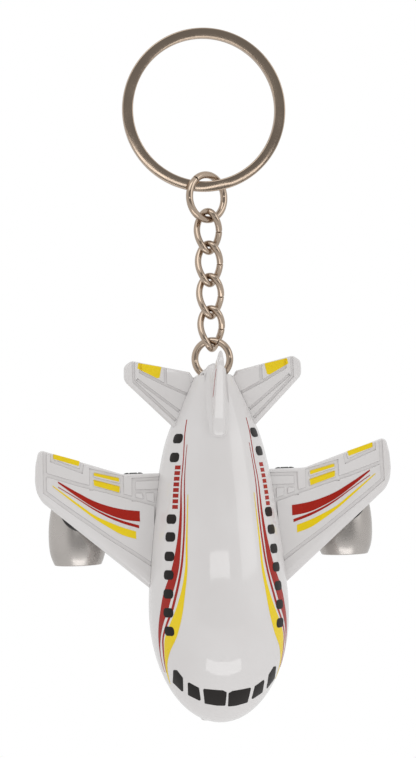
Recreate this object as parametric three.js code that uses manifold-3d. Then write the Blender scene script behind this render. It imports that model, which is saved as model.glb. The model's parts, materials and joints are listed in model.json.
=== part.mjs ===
// A toy airliner on a key chain, hanging nose down from its split ring.
// Millimetres, +Z up. The origin is the point where a hook or a finger holds the split ring.
// The airplane has its own axes inside its group: x forward from the tail end, y to port, z to the fin.
import * as THREE from "three";
import { mergeVertices } from "three/addons/utils/BufferGeometryUtils.js";
import Module from "manifold-3d";

// ---- driving dimensions -------------------------------------------------------------------
const SPLIT_RING = { outer: 15, inner: 13.05, coil: 0.7, space: 0.1 }; // radii, axial size of one coil
const UPPER_RING = { radius: 4.1, wire: 0.66, turn: 33 }; // centre line, wire, degrees about Z
const LOWER_RING = { radius: 3.35, wire: 0.65, turn: -25 };
const LINK = { a: 2.02, b: 3.7, wire: 0.61, twist: 47 }; // half width and half height of the centre line
const LINK_TURNS = [0, 3, 8, 14]; // degrees about Z, top link first
const HANG_GAP = 0.25; // play between wires that hang in each other
const GAP = 0.3; // play between moulded pieces that touch
const WALL = 1.5; // shell thickness
const FIT = 0.1; // radial play of pins and screws

const NOSE_START = 43.4; // where the barrel turns into the elliptical nose
const NOSE_END = 64.1;
const WIDEST = 12.9; // fuselage radius at NOSE_START
const BELLY = 0.93; // lower half's height against its width
const TAIL_RISE = 4; // the tail end sits this far above the fuselage axis
const TAIL_LENGTH = 16; // stretch of the fuselage that sweeps up
const NOSE_DROOP = 1.2;

const DOME = { x: 1.05, size: [2.5, 2.85, 2.3] }; // the round tail end that the eye goes through
const LUG = { x: 0.45, z: 3, hole: 0.95, up: 24, down: 48 }; // eye for the lower jump ring
const WING = { z: -0.1, thick: 2.2 };
const TAILPLANE = { z: 2.9, thick: 1.7 };
const ENGINE = { y: 25.1, z: -7.4, front: 34.4, rear: 20.6, radius: 5.3 };
const PYLON = { x: 24.1, y: 24.5, radius: 3.9 };
const WHEEL = { x: 23.25, y: 14.25, z: -7.4, radius: 5.55, width: 4.2 };
const NOSE_WHEEL = { x: 50.3, z: -10.05, radius: 3.2, width: 3.2 };
const AXLE_RADIUS = 0.8;
const BUTTON = { x: 27.9, radius: 2.8, travel: 0.8, proud: 0.8 };
const SWITCH_FOOT = -2.4; // lower face of the tact switch
const DOOR = { x0: 32.4, x1: 43, y: 6.5, top: -5 };
const CELL = { x: 38.6, z: -4.6, radius: 3.95, thick: 3.6, count: 3 };
const BOARD = { x0: 25, x1: 45.6, y: 6.2, z: 0.4, thick: 0.8 };
const SPEAKER = { x: 17.3, z: -3, radius: 5.5 };
const SCREW = { head: 1.45, headHeight: 1.1, shank: 0.7 };
const SCREW_X = [9.2, 57.2];
const DOOR_SCREW_X = DOOR.x0 + 1.7;

// ---- geometry helpers ---------------------------------------------------------------------
const wasm = await Module();
wasm.setup();
const rad = THREE.MathUtils.degToRad;

// A closed manifold solid from a three.js geometry.
function solid(geometry) {
  const bare = geometry.clone();
  bare.deleteAttribute("normal");
  bare.deleteAttribute("uv");
  const merged = mergeVertices(bare, 1e-4);
  return new wasm.Manifold(new wasm.Mesh({
    numProp: 3,
    vertProperties: new Float32Array(merged.attributes.position.array),
    triVerts: new Uint32Array(merged.index.array),
  }));
}

// A three.js geometry from a manifold solid.
function surface(manifold) {
  const mesh = manifold.getMesh();
  const geometry = new THREE.BufferGeometry();
  geometry.setAttribute("position", new THREE.BufferAttribute(new Float32Array(mesh.vertProperties), 3));
  geometry.setIndex(new THREE.BufferAttribute(new Uint32Array(mesh.triVerts), 1));
  geometry.computeVertexNormals();
  return geometry;
}

// Joins rings of points into one closed skin. A ring of one point is a tip.
function loft(rings) {
  const points = rings.flat();
  const starts = [];
  rings.reduce((start, ring) => {
    starts.push(start);
    return start + ring.length;
  }, 0);
  const faces = [];
  for (let i = 0; i + 1 < rings.length; i += 1) {
    const count = Math.max(rings[i].length, rings[i + 1].length);
    for (let j = 0; j < count; j += 1) {
      const k = (j + 1) % count;
      const [a, b] = rings[i].length === 1 ? [0, 0] : [j, k];
      const [c, d] = rings[i + 1].length === 1 ? [0, 0] : [j, k];
      if (a !== b) faces.push(starts[i] + a, starts[i + 1] + c, starts[i] + b);
      if (c !== d) faces.push(starts[i] + b, starts[i + 1] + c, starts[i + 1] + d);
    }
  }
  const cap = (start, count, flip) => {
    for (let j = 1; j + 1 < count; j += 1) {
      faces.push(start, start + (flip ? j + 1 : j), start + (flip ? j : j + 1));
    }
  };
  cap(starts[0], rings[0].length, false);
  cap(starts[starts.length - 1], rings[rings.length - 1].length, true);
  const geometry = new THREE.BufferGeometry().setFromPoints(points);
  geometry.setIndex(faces);
  geometry.computeVertexNormals();
  return geometry;
}

// A round wire bent along path(t), t from 0 to 1, with its two ends butted a hair apart.
function bentWire(path, wire, steps, sides = 10) {
  const rings = [];
  for (let i = 0; i <= steps; i += 1) {
    const t = 0.004 + (0.992 * i) / steps;
    const centre = path(t);
    const along = path(t + 0.001).sub(path(t - 0.001)).normalize();
    const out = centre.clone().addScaledVector(along, -centre.dot(along)).normalize();
    const side = along.clone().cross(out);
    rings.push(Array.from({ length: sides }, (_, j) => {
      const angle = (2 * Math.PI * j) / sides;
      const point = centre.clone().addScaledVector(out, wire * Math.cos(angle));
      return point.addScaledVector(side, wire * Math.sin(angle));
    }));
  }
  return loft(rings.reverse());
}

const box = (x0, x1, y0, y1, z0, z1) =>
  new THREE.BoxGeometry(x1 - x0, y1 - y0, z1 - z0).translate((x0 + x1) / 2, (y0 + y1) / 2, (z0 + z1) / 2);

// Round bars along each of the airplane's axes.
const bar = (radius, length, sides) => new THREE.CylinderGeometry(radius, radius, length, sides);
const barY = (x, z, radius, y0, y1, sides = 20) =>
  bar(radius, y1 - y0, sides).translate(x, (y0 + y1) / 2, z);
const barZ = (x, y, radius, z0, z1, sides = 20) =>
  bar(radius, z1 - z0, sides).rotateX(Math.PI / 2).translate(x, y, (z0 + z1) / 2);
const barX = (y, z, radius, x0, x1, sides = 20) =>
  bar(radius, x1 - x0, sides).rotateZ(Math.PI / 2).translate((x0 + x1) / 2, y, z);

const flatPoints = (pairs) => pairs.map(([a, b]) => new THREE.Vector2(a, b));
const lathe = (pairs, sides) => new THREE.LatheGeometry(flatPoints(pairs), sides);

// A plate with the outline pairs = [x, y], bevelled all round, lying between z0 and z1.
function plate(pairs, z0, z1, bevel) {
  const size = Math.min(bevel, (z1 - z0) / 2 - 0.05);
  const geometry = new THREE.ExtrudeGeometry(new THREE.Shape(flatPoints(pairs)), {
    depth: z1 - z0 - 2 * size,
    bevelThickness: size,
    bevelSize: bevel,
    bevelOffset: -bevel,
    bevelSegments: 2,
  });
  return geometry.translate(0, 0, z0 + size);
}

// Everything above (side = 1) or below (side = -1) the line where the two shells meet.
function halfSpace(side, offset) {
  const [rear, front, reach] = [-10, 80, 40];
  const line = [[rear, side * reach]];
  for (let x = rear; x <= front; x += x < TAIL_LENGTH ? 1 : 8) line.push([x, axisHeight(x) + offset]);
  line.push([line[line.length - 1][0], side * reach]);
  const outline = new THREE.Shape(flatPoints(line));
  const geometry = new THREE.ExtrudeGeometry(outline, { depth: 2 * reach, bevelEnabled: false });
  return solid(geometry.rotateX(Math.PI / 2).translate(0, reach, 0));
}

// ---- fuselage form ------------------------------------------------------------------------
// Radii of the fuselage at stations from the tail end to where the nose begins.
const TAIL_RADII = [
  [0, 3.35], [7, 6.85], [11, 8.5], [17, 10.05], [25.5, 11.3], [34, 12.3], [NOSE_START, WIDEST],
];
const tailPoints = new THREE.SplineCurve(flatPoints(TAIL_RADII)).getPoints(90);

function radiusAt(x) {
  if (x >= NOSE_START) {
    const u = Math.min((x - NOSE_START) / (NOSE_END - NOSE_START), 1);
    return WIDEST * Math.sqrt(1 - u * u);
  }
  const k = Math.max(1, tailPoints.findIndex((point) => point.x >= x));
  const [a, b] = [tailPoints[k - 1], tailPoints[k]];
  return a.y + ((b.y - a.y) * (x - a.x)) / (b.x - a.x);
}

// Height of the section's centre, which is also the line where the shells meet.
function axisHeight(x) {
  if (x < TAIL_LENGTH) return TAIL_RISE * (1 - Math.max(x, 0) / TAIL_LENGTH) ** 1.6;
  const u = Math.max(0, Math.min(1, (x - NOSE_START) / (NOSE_END - NOSE_START)));
  return -NOSE_DROOP * u * u;
}

// The fuselage as one solid, grown by offset (or shrunk), between two stations.
function fuselage(offset, x0, x1, around, steps) {
  const rings = [];
  const tip = x1 >= NOSE_END;
  for (let i = 0; i <= steps; i += 1) {
    const u = i / steps;
    const x = x0 + (x1 - x0) * (tip ? Math.sin((u * Math.PI) / 2) ** 0.85 : u);
    const radius = radiusAt(Math.min(x, NOSE_END)) + offset;
    const ring = Array.from({ length: around }, (_, j) => {
      const angle = (2 * Math.PI * (j + 0.5)) / around;
      const height = Math.cos(angle) * (Math.cos(angle) < 0 ? BELLY : 1);
      return new THREE.Vector3(x, radius * Math.sin(angle), axisHeight(x) + radius * height);
    });
    rings.push(tip && i === steps ? [new THREE.Vector3(x, 0, axisHeight(NOSE_END))] : ring);
  }
  return solid(loft(rings));
}
const belly = (x) => axisHeight(x) - BELLY * radiusAt(x);

// ---- wings and tailplanes -----------------------------------------------------------------
// The outlines are for the port side and get mirrored for the starboard side.
const WING_OUTLINE = [
  [17.7, 6], [17.7, 16.6], [17.2, 18.2], [13, 31], [12.75, 31.7], [13.2, 32.4], [15.5, 32.85], [18.2, 33.05],
  [20, 32.85], [21.6, 32.1], [23.6, 30.3], [38.8, 12.6], [44.5, 6],
];
const TAILPLANE_OUTLINE = [
  [0.5, 2.5], [0.3, 3.7], [-0.6, 4.3], [-2.85, 13.9], [-2.8, 15], [-2, 15.9], [-0.6, 16.3], [0.5, 16.15],
  [1.6, 15.4], [8.9, 8.1], [11.5, 5.5],
];
const WING_TAB = [21, 36, 6.6, 13, WING.z - 0.55, WING.z + 0.55];
const TAILPLANE_TAB = [3, 6.5, 2.6, 7, TAILPLANE.z - 0.45, TAILPLANE.z + 0.45];

function panel(outline, { z, thick }, tab, side) {
  const flat = outline.map(([x, y]) => [x, y * side]);
  const slab = solid(plate(side > 0 ? flat : flat.reverse(), z - thick / 2, z + thick / 2, 0.7));
  const [x0, x1, y0, y1, z0, z1] = tab;
  const tongue = solid(box(x0, x1, ...sideways(side, y0, y1), z0, z1));
  return slab.subtract(fuselage(GAP, 0, NOSE_END - 2, 32, 26)).add(tongue);
}

// A span from the middle outwards, on the port or the starboard side.
const sideways = (side, inner, outer) => (side > 0 ? [inner, outer] : [-outer, -inner]);

// Clearance for a tab, cut into both shells.
const tabSlot = ([x0, x1, , y1, z0, z1], side) =>
  solid(box(x0 - GAP, x1 + GAP, ...sideways(side, 0.5, y1 + 5), z0 - GAP, z1 + GAP));

// ---- shells -------------------------------------------------------------------------------
const hollow = fuselage(-WALL, 2.2, NOSE_END - 3, 20, 12);
const core = fuselage(-WALL / 2, 1, NOSE_END - 1, 20, 12);
const tabs = [WING_TAB, TAILPLANE_TAB];
const slots = wasm.Manifold.union(tabs.flatMap((tab) => [tabSlot(tab, 1), tabSlot(tab, -1)]));

// The room that the lower jump ring needs in the tail as it swings up and down.
function ringSweep() {
  const rings = [];
  for (let angle = -LUG.down; angle <= LUG.up; angle += 18) {
    const ring = new THREE.TorusGeometry(LOWER_RING.radius, LUG.hole, 6, 14);
    ring.translate(-LOWER_RING.radius, 0, 0).rotateY(rad(angle)).rotateX(rad(-LOWER_RING.turn));
    rings.push(solid(ring.translate(LUG.x, 0, LUG.z)));
  }
  return wasm.Manifold.union(rings).intersect(solid(box(-3, 3, -4, 4, -4, 8)));
}

// The fin is one moulding with the upper shell: a swept blade with a round leading edge.
// Its levels are [height, front end, rear end, half width].
const FIN_LEVELS = [
  [5, 11.6, 1.2, 1.3], [7.2, 11.4, -0.1, 1.25], [9.2, 10.8, -1.1, 1.15], [12, 4.8, -2.5, 0.95],
  [15.2, -1.9, -4.2, 0.6], [16, -2.9, -4.4, 0.3],
];

function fin() {
  const rings = FIN_LEVELS.map(([z, front, rear, half]) => {
    const arc = Array.from({ length: 7 }, (_, k) => {
      const angle = rad(-90 + 30 * k);
      return new THREE.Vector3(front - half + half * Math.cos(angle), half * Math.sin(angle), z);
    });
    return [...arc, new THREE.Vector3(rear, half * 0.6, z), new THREE.Vector3(rear, -half * 0.6, z)];
  });
  return solid(loft(rings.reverse()));
}

const boss = (x, radius, z0, z1) => solid(barZ(x, 0, radius, z0, z1, 16));

function upperShell() {
  let body = fuselage(0, 0, NOSE_END, 32, 26).add(fin()).subtract(hollow);
  for (const x of SCREW_X) {
    body = body.add(boss(x, 2.2, axisHeight(x), axisHeight(x) + radiusAt(x)).intersect(core));
    body = body.subtract(boss(x, SCREW.shank + FIT, axisHeight(x) - 1, axisHeight(x) + 5));
  }
  return body.intersect(halfSpace(1, GAP / 2)).subtract(slots).subtract(ringSweep());
}

const CHIN_OUTLINE = [
  [54, -3.2], [NOSE_END - 0.25, -3.6], [NOSE_END + 0.1, 0], [NOSE_END - 0.25, 3.6], [54, 3.2],
];
const CHIN_HEIGHTS = [-4.4, -1.6];
const SOUND_HOLE = { radius: 0.6, pitch: 3, rows: [-1, 0, 1] };

function lowerShell() {
  const dome = solid(new THREE.SphereGeometry(1, 18, 12).scale(...DOME.size).translate(DOME.x, 0, LUG.z));
  const behind = solid(box(-5, -GAP, -8, 8, -5, 12));
  let body = fuselage(0, 0, NOSE_END, 32, 26).intersect(halfSpace(-1, -GAP / 2));
  const tailBlock = dome.intersect(halfSpace(-1, -GAP / 2)).add(dome.intersect(behind));
  body = body.subtract(hollow).add(tailBlock);
  body = body.add(solid(plate(CHIN_OUTLINE, ...CHIN_HEIGHTS, 0.3)).subtract(hollow));
  const inside = fuselage(-2 * WALL, 4, 60, 24, 10);
  for (const side of [1, -1]) {
    const span = sideways(side, 6, WHEEL.y - WHEEL.width / 2 - GAP);
    body = body.add(solid(barY(WHEEL.x, WHEEL.z, 2, ...span)).subtract(inside));
  }
  for (const x of SCREW_X) body = body.add(boss(x, 2.3, belly(x), axisHeight(x) - GAP / 2).intersect(core));
  for (const x of [BOARD.x0 + 1.4, BOARD.x1 - 1.2]) {
    for (const y of [BOARD.y - 1, 1 - BOARD.y]) {
      body = body.add(solid(barZ(x, y, 1.2, -9, BOARD.z - BOARD.thick / 2 - FIT, 12)));
    }
  }
  const below = -16;
  const wellLength = NOSE_WHEEL.radius + 0.5;
  const wellWidth = NOSE_WHEEL.width / 2 + 0.5;
  const soundHole = (row, column) => solid(barZ(SPEAKER.x + row * SOUND_HOLE.pitch, column * SOUND_HOLE.pitch,
    SOUND_HOLE.radius, below, SPEAKER.z - 3, 6));
  const cuts = [
    ringSweep(),
    slots,
    solid(barY(WHEEL.x, WHEEL.z, AXLE_RADIUS + FIT, -14, 14)),
    solid(barY(NOSE_WHEEL.x, NOSE_WHEEL.z, AXLE_RADIUS + FIT, -4.6, 4.6)),
    solid(box(NOSE_WHEEL.x - wellLength, NOSE_WHEEL.x + wellLength, -wellWidth, wellWidth, below, -6.2)),
    solid(box(DOOR.x0, DOOR.x1, -DOOR.y, DOOR.y, below, DOOR.top)),
    solid(barZ(BUTTON.x, 0, BUTTON.radius + GAP, below, -8)),
    ...SCREW_X.map((x) => boss(x, SCREW.shank + FIT, below, 6)),
    ...SCREW_X.map((x) => boss(x, SCREW.head + FIT, below, belly(x) + 3)),
    ...SOUND_HOLE.rows.flatMap((row) => SOUND_HOLE.rows.map((column) => soundHole(row, column))),
  ];
  const ledge = belly(DOOR_SCREW_X) + WALL + GAP;
  const half = 2.2;
  const catcher = solid(box(DOOR.x0 - 1, DOOR.x0 + 3.2, -half, half, ledge, ledge + 2))
    .add(solid(box(DOOR.x0 - 1, DOOR.x0, -half, half, ledge - 1, ledge + 0.5)))
    .subtract(boss(DOOR_SCREW_X, SCREW.shank + FIT, below, 0));
  return body.subtract(wasm.Manifold.union(cuts)).add(catcher);
}

// ---- the rest of the airplane's pieces ----------------------------------------------------
function batteryDoor() {
  const skin = fuselage(0, 20, 50, 36, 14).subtract(fuselage(-WALL, 20, 50, 24, 8));
  const opening = solid(box(DOOR.x0 + GAP, DOOR.x1 - GAP, -DOOR.y + GAP, DOOR.y - GAP, -16, DOOR.top));
  const hole = boss(DOOR_SCREW_X, SCREW.shank + FIT, -16, 0);
  const headRoom = boss(DOOR_SCREW_X, SCREW.head + FIT, -16, belly(DOOR_SCREW_X) + 1);
  return skin.intersect(opening).subtract(hole).subtract(headRoom);
}

const engineProfile = [
  [3.7, ENGINE.rear], [4.5, 23.2], [5.1, 26.2], [ENGINE.radius, 29], [5.25, 31], [5.08, 32.3], [4.75, 33.5],
  [4.4, ENGINE.front], [4, ENGINE.front], [3.75, 33.8], [3.7, 28.6], [1.65, 28.6], [1.65, 27.2], [3, 27.2],
  [3, ENGINE.rear],
];
const engineCowl = (side) => lathe([...engineProfile, engineProfile[0]], 22).rotateZ(-Math.PI / 2)
  .translate(0, ENGINE.y * side, ENGINE.z);

// Black saddle that joins an engine to its wing.
function pylon(side) {
  const under = WING.z - WING.thick / 2 - GAP;
  const post = solid(barZ(PYLON.x, PYLON.y * side, PYLON.radius, under - 3.6, under, 20));
  const cowlRoom = solid(barX(ENGINE.y * side, ENGINE.z, ENGINE.radius + GAP, 10, 40, 24));
  return post.subtract(cowlRoom);
}

const ledProfile = [[0, 26.2], [1.2, 26.2], [1.5, 26.4], [1.5, 29.6], [1.3, 30.4], [0.8, 31], [0, 31.2]];
const led = (side) => lathe(ledProfile, 14).rotateZ(-Math.PI / 2).translate(0, ENGINE.y * side, ENGINE.z);

// A tyre with its hub: round shoulders, a shallow dish on both sides and a bore for the axle.
function wheel(radius, width, bore, x, y, z) {
  const half = width / 2;
  const profile = [
    [bore, -half + 0.3], [radius * 0.45, -half + 0.3], [radius * 0.52, -half], [radius - 0.9, -half],
    [radius - 0.25, -half + 0.35], [radius, -half + 1], [radius, half - 1], [radius - 0.25, half - 0.35],
    [radius - 0.9, half], [radius * 0.52, half], [radius * 0.45, half - 0.3], [bore, half - 0.3],
  ];
  return lathe([...profile, profile[0]], 20).translate(x, y, z);
}

function pushButton() {
  const foot = belly(BUTTON.x) - BUTTON.proud;
  const flange = BUTTON.radius + 0.5;
  const tip = SWITCH_FOOT - 0.2 - BUTTON.travel;
  const profile = [
    [0, foot], [BUTTON.radius - 0.6, foot], [BUTTON.radius - 0.1, foot + 0.4], [BUTTON.radius, foot + 0.9],
    [BUTTON.radius, foot + 3.4], [flange, foot + 3.4], [flange, foot + 4.2], [1.2, foot + 4.2], [1.2, tip],
    [0, tip],
  ];
  return lathe(profile, 18).rotateX(Math.PI / 2).translate(BUTTON.x, 0, 0);
}

// A screw on the middle line, its head at the height z0 and its point up.
function screwUp(x, z0, length) {
  const neck = z0 + SCREW.headHeight;
  const end = z0 + length;
  const profile = [
    [0, z0], [SCREW.head, z0], [SCREW.head, neck], [SCREW.shank, neck], [SCREW.shank, end], [0, end + 0.5],
  ];
  return lathe(profile, 14).rotateX(Math.PI / 2).translate(x, 0, 0);
}

// ---- key ring and chain -------------------------------------------------------------------
// Flat wire wound twice. The front coil ends left of the bottom, where the wire steps back to the rear coil.
function splitRing() {
  const offset = (SPLIT_RING.coil + SPLIT_RING.space) / 2;
  const [start, stepStart, stepEnd, finish] = [8.5, 342, 373, 698].map(rad);
  const steps = 84;
  const rings = [];
  for (let i = 0; i <= steps; i += 1) {
    const turn = start + ((finish - start) * i) / steps;
    const step = THREE.MathUtils.smoothstep(turn, stepStart, stepEnd);
    const y = -offset + 2 * offset * step;
    const out = new THREE.Vector3(-Math.sin(turn), 0, -Math.cos(turn));
    const { inner, outer, coil } = SPLIT_RING;
    const corners = [[inner, -1], [outer, -1], [outer, 1], [inner, 1]];
    rings.push(corners.map(([radius, side]) =>
      out.clone().multiplyScalar(radius).setY(y + (side * coil) / 2)));
  }
  return loft(rings);
}

// A jump ring, butted at the angle seam (degrees from its top).
const jumpRing = ({ radius, wire }, seam) => bentWire((t) => {
  const angle = 2 * Math.PI * t + rad(seam);
  return new THREE.Vector3(radius * Math.sin(angle), 0, radius * Math.cos(angle));
}, wire, 28, 8);

// A curb link: an oval with straight flanks, twisted about its length so that the chain lies flat.
const curbLink = () => bentWire((t) => {
  const angle = 2 * Math.PI * t + Math.PI / 2;
  const x = LINK.a * Math.sign(Math.sin(angle)) * Math.abs(Math.sin(angle)) ** 0.85;
  const z = LINK.b * Math.cos(angle);
  const twist = rad(LINK.twist) * (z / LINK.b);
  return new THREE.Vector3(x * Math.cos(twist), -x * Math.sin(twist), z);
}, LINK.wire, 26, 6);

// ---- materials ----------------------------------------------------------------------------
const finish = {
  nickel: { color: 0x8a7d70, roughness: 0.25, metalness: 1 },
  shell: { color: 0xdedbda, roughness: 0.25, metalness: 0 },
  silver: { color: 0xa59e99, roughness: 0.4, metalness: 0.6 },
  black: { color: 0x1e1c1b, roughness: 0.5, metalness: 0 },
  rubber: { color: 0x171716, roughness: 0.7, metalness: 0 },
  steel: { color: 0xa9a9a6, roughness: 0.3, metalness: 1 },
  clear: { color: 0xf4f2e8, roughness: 0.1, metalness: 0 },
  board: { color: 0x2f6a3a, roughness: 0.5, metalness: 0 },
  button: { color: 0xb02a20, roughness: 0.4, metalness: 0 },
};

const keyring = new THREE.Group();
const airplane = new THREE.Group();
keyring.add(airplane);

function put(group, name, geometry, look, x = 0, y = 0, z = 0) {
  const shape = geometry instanceof THREE.BufferGeometry ? geometry : surface(geometry);
  const mesh = new THREE.Mesh(shape, new THREE.MeshStandardMaterial(finish[look]));
  mesh.name = name;
  mesh.position.set(x, y, z);
  group.add(mesh);
  return mesh;
}

// Each ring and link hangs in the one above it.
put(keyring, "split_ring", splitRing(), "nickel", 0, 0, -SPLIT_RING.inner);
const upperRingZ = -2 * SPLIT_RING.inner + UPPER_RING.wire + 2 * HANG_GAP - UPPER_RING.radius;
put(keyring, "upper_jump_ring", jumpRing(UPPER_RING, -38), "nickel", 0, 0, upperRingZ)
  .rotation.z = rad(UPPER_RING.turn);
let hangZ = upperRingZ - UPPER_RING.radius + UPPER_RING.wire + LINK.wire + HANG_GAP - LINK.b;
LINK_TURNS.forEach((turn, i) => {
  if (i > 0) hangZ -= 2 * LINK.b - 2 * LINK.wire - HANG_GAP;
  put(keyring, `chain_link_${i + 1}`, curbLink(), "nickel", 0, 0, hangZ).rotation.z = rad(turn);
});
const lowerRingZ = hangZ - LINK.b + LINK.wire + LOWER_RING.wire + HANG_GAP - LOWER_RING.radius;
put(keyring, "lower_jump_ring", jumpRing(LOWER_RING, 25), "nickel", 0, 0, lowerRingZ)
  .rotation.z = rad(LOWER_RING.turn);

// The airplane hangs by its tail eye: nose down, fin to the front.
airplane.position.set(0, LUG.z, lowerRingZ - LOWER_RING.radius + LUG.x);
const axes = [new THREE.Vector3(0, 0, -1), new THREE.Vector3(1, 0, 0), new THREE.Vector3(0, -1, 0)];
airplane.quaternion.setFromRotationMatrix(new THREE.Matrix4().makeBasis(...axes));

put(airplane, "upper_shell", upperShell(), "shell");
put(airplane, "lower_shell", lowerShell(), "shell");
for (const [name, side] of [["left", 1], ["right", -1]]) {
  put(airplane, `${name}_wing`, panel(WING_OUTLINE, WING, WING_TAB, side), "shell");
  put(airplane, `${name}_tailplane`, panel(TAILPLANE_OUTLINE, TAILPLANE, TAILPLANE_TAB, side), "shell");
  put(airplane, `${name}_engine_cowl`, engineCowl(side), "silver");
  put(airplane, `${name}_engine_pylon`, pylon(side), "black");
  put(airplane, `${name}_engine_led`, led(side), "clear");
  put(airplane, `${name}_main_wheel`,
    wheel(WHEEL.radius, WHEEL.width, AXLE_RADIUS + FIT / 2, WHEEL.x, WHEEL.y * side, WHEEL.z), "rubber");
}
put(airplane, "main_axle", barY(WHEEL.x, WHEEL.z, AXLE_RADIUS, -WHEEL.y - 1.4, WHEEL.y + 1.4), "steel");
put(airplane, "nose_wheel",
  wheel(NOSE_WHEEL.radius, NOSE_WHEEL.width, AXLE_RADIUS + FIT / 2, NOSE_WHEEL.x, 0, NOSE_WHEEL.z), "rubber");
put(airplane, "nose_axle", barY(NOSE_WHEEL.x, NOSE_WHEEL.z, AXLE_RADIUS, -4.3, 4.3), "steel");

const underBoard = BOARD.z - BOARD.thick / 2;
const onBoard = BOARD.z + BOARD.thick / 2 + FIT;
put(airplane, "push_button", pushButton(), "button");
put(airplane, "tact_switch",
  box(BUTTON.x - 2.2, BUTTON.x + 2.2, -2.2, 2.2, SWITCH_FOOT, underBoard - FIT), "black");
put(airplane, "circuit_board",
  box(BOARD.x0, BOARD.x1, -BOARD.y, BOARD.y, underBoard, underBoard + BOARD.thick), "board");
const resinDrop = solid(new THREE.SphereGeometry(1, 14, 8).scale(3, 3, 1.4).translate(35, 0, onBoard));
put(airplane, "sound_chip", resinDrop.intersect(solid(box(30, 40, -5, 5, onBoard, 4))), "black");
const speakerProfile = [
  [0, -1.5], [SPEAKER.radius - 0.4, -1.5], [SPEAKER.radius, -1.1], [SPEAKER.radius, 0], [4, 0.6], [4, 1.6],
  [0, 1.6],
];
put(airplane, "speaker",
  lathe(speakerProfile, 20).rotateX(Math.PI / 2).translate(SPEAKER.x, 0, SPEAKER.z), "steel");

const cellPitch = CELL.thick + FIT;
for (let i = 0; i < CELL.count; i += 1) {
  const y = (i - (CELL.count - 1) / 2) * cellPitch;
  const cell = barY(CELL.x, CELL.z, CELL.radius, y - CELL.thick / 2, y + CELL.thick / 2, 24);
  put(airplane, `button_cell_${i + 1}`, cell, "steel");
}
for (const [name, side] of [["positive", 1], ["negative", -1]]) {
  const inner = (CELL.count * cellPitch) / 2 + FIT;
  const span = sideways(side, inner, inner + 0.3);
  put(airplane, `${name}_contact`,
    box(CELL.x - 3, CELL.x + 3, ...span, CELL.z - 3, underBoard - FIT), "steel");
}

put(airplane, "battery_door", batteryDoor(), "shell");
put(airplane, "door_screw", screwUp(DOOR_SCREW_X, belly(DOOR_SCREW_X) - 0.2, 4), "steel");
put(airplane, "rear_shell_screw", screwUp(SCREW_X[0], belly(SCREW_X[0]) + 1.7, 9), "steel");
put(airplane, "front_shell_screw", screwUp(SCREW_X[1], belly(SCREW_X[1]) + 1.7, 10), "steel");

export default keyring;
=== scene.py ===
"""Looks of a toy airliner that hangs on a key chain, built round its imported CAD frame."""
import json
import math

import bmesh
import bpy
import numpy as np
from mathutils import Matrix, Vector


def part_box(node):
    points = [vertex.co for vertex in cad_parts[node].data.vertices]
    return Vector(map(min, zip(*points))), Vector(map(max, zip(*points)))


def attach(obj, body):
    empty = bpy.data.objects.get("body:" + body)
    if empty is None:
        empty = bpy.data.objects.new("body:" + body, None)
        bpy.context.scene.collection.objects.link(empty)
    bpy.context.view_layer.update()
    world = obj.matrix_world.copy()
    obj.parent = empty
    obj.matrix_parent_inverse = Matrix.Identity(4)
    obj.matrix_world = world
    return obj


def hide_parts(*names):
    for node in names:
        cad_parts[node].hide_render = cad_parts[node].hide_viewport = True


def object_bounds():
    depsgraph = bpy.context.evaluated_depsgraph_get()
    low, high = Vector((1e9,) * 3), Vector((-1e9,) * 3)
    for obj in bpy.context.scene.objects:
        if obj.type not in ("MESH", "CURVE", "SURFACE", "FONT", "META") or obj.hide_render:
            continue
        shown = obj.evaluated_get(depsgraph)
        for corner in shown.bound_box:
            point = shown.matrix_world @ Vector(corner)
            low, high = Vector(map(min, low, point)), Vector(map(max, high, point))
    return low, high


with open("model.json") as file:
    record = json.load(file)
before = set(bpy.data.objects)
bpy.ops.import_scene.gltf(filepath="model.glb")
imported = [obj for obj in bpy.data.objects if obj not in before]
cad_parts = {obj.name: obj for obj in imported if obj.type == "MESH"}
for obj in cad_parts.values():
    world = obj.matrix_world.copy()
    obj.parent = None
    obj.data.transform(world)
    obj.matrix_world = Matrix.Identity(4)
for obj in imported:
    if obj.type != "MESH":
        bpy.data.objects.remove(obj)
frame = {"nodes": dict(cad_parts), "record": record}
cad_low, cad_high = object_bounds()
joints = {joint["name"]: joint for joint in frame["record"]["behaviour"]["joints"]}

MM = 0.001
CREASE = 35  # edges sharper than this, in degrees, stay sharp
EYE = np.array(joints["airplane_swing"]["pos_m"])  # the tail eye, in the row frame
EYE_X, EYE_Z = 0.45, 3.0  # the same point in the airplane's axes: x forward, y to port, z to the fin, in mm

# ---- the fuselage's form, in mm ----
TAIL_RADII = [(0, 3.35), (7, 6.85), (11, 8.5), (17, 10.05), (25.5, 11.3), (34, 12.3), (43.4, 12.9)]
NOSE_START, WIDEST = TAIL_RADII[-1]
NOSE_END = 64.1
BELLY = 0.93  # lower half's height against its width
TAIL_RISE, TAIL_LENGTH = 4, 16
NOSE_DROOP = 1.2
WALL = 1.5
SEAM = 0.06  # half the gap between the two shells
PRINT, SUNK = 0.03, 0.1  # how far the printed marks stand out, and how far they reach into the skin


# ---- places ----
def airplane(points):
    """Points in the airplane's axes, in mm, as points in the row frame, in metres."""
    x, y, z = np.asarray(points, float).reshape(-1, 3).T
    return EYE + MM * np.stack([y, EYE_Z - z, EYE_X - x], axis=1)


def row(points):
    """Points given in mm in the row frame."""
    return np.asarray(points, float).reshape(-1, 3) * MM


def local_box(node):
    """A CAD node's lowest and highest corner in the airplane's axes, in mm."""
    low, high = ((np.array(corner) - EYE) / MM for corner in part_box(node))
    return (np.array([EYE_X - high[2], low[0], EYE_Z - high[1]]),
            np.array([EYE_X - low[2], high[0], EYE_Z - low[1]]))


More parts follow.
